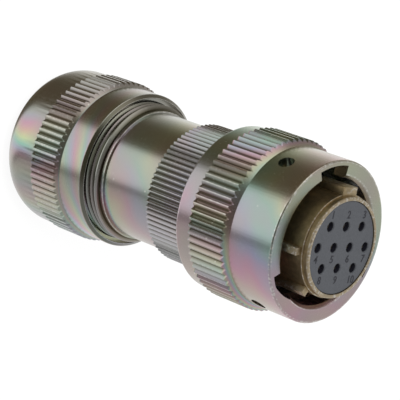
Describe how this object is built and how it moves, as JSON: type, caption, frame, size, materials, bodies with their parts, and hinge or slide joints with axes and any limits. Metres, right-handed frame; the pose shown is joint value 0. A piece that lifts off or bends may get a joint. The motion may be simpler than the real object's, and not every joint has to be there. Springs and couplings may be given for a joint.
{
  "type": "bayonet circular connector",
  "caption": "Bayonet circular cable plug: knurled coupling ring with entries and ramps, keyed barrel, socket insert, knurled backshell and a sealing gland with a domed nut.",
  "frame": {"origin": "centre of the gland nut's rear face, on which the connector stands", "axes": "+Z along the connector's axis from the cable end to the mating face, +Y towards the main key"},
  "size_m": [0.0264, 0.0264, 0.0622],
  "materials": {
    "chromate_plating": "satin olive chromate over plated aluminium, with faint pink, green and yellow interference tints",
    "bronze_plating": "dull dark bronze plating",
    "grey_rubber": "matt blue-grey silicone rubber",
    "moulded_block": "moulded dark block",
    "black_rubber": "matt black rubber",
    "washer_steel": "brushed steel",
    "contact_gold": "thin gold over brass"
  },
  "bodies": {
    "gland_nut": {"gland_nut": "chromate_plating"},
    "slip_washer": {"slip_washer": "washer_steel"},
    "plug_body": {"gland": "black_rubber", "seat_washer": "washer_steel", "backshell": "chromate_plating", "gasket": "black_rubber", "plug_shell": "bronze_plating", "shell_seal": "black_rubber", "rear_insert": "moulded_block", "front_insert": "grey_rubber", "follower": "bronze_plating", "contact_1": "contact_gold", "contact_2": "contact_gold", "contact_3": "contact_gold", "contact_4": "contact_gold", "contact_5": "contact_gold", "contact_6": "contact_gold", "contact_7": "contact_gold", "contact_8": "contact_gold", "contact_9": "contact_gold", "contact_10": "contact_gold", "wave_washer": "washer_steel"},
    "thrust_washer": {"thrust_washer": "washer_steel"},
    "coupling_ring": {"ring_clip": "washer_steel", "coupling_ring": "chromate_plating"}
  },
  "joints": [
    {"name": "nut_turn", "type": "hinge", "parent": "gland_nut", "child": "slip_washer", "pos_m": [0, 0, 0.01], "axis": [0, 0, 1], "range_deg": [0, 1440]},
    {"name": "nut_travel", "type": "slide", "parent": "slip_washer", "child": "plug_body", "axis": [0, 0, 1], "range_m": [0, 0.004]},
    {"name": "ring_float", "type": "slide", "parent": "plug_body", "child": "thrust_washer", "axis": [0, 0, 1], "range_m": [0, 0.0007], "stiffness_N_per_m": 20000, "springref_m": -0.0003, "deforming": ["wave_washer"]},
    {"name": "ring_turn", "type": "hinge", "parent": "thrust_washer", "child": "coupling_ring", "pos_m": [0, 0, 0.05], "axis": [0, 0, 1], "continuous": true}
  ],
  "couplings": [
    {"joint": "nut_turn", "follows": "nut_travel", "rad_per_m": 6283.2}
  ]
}
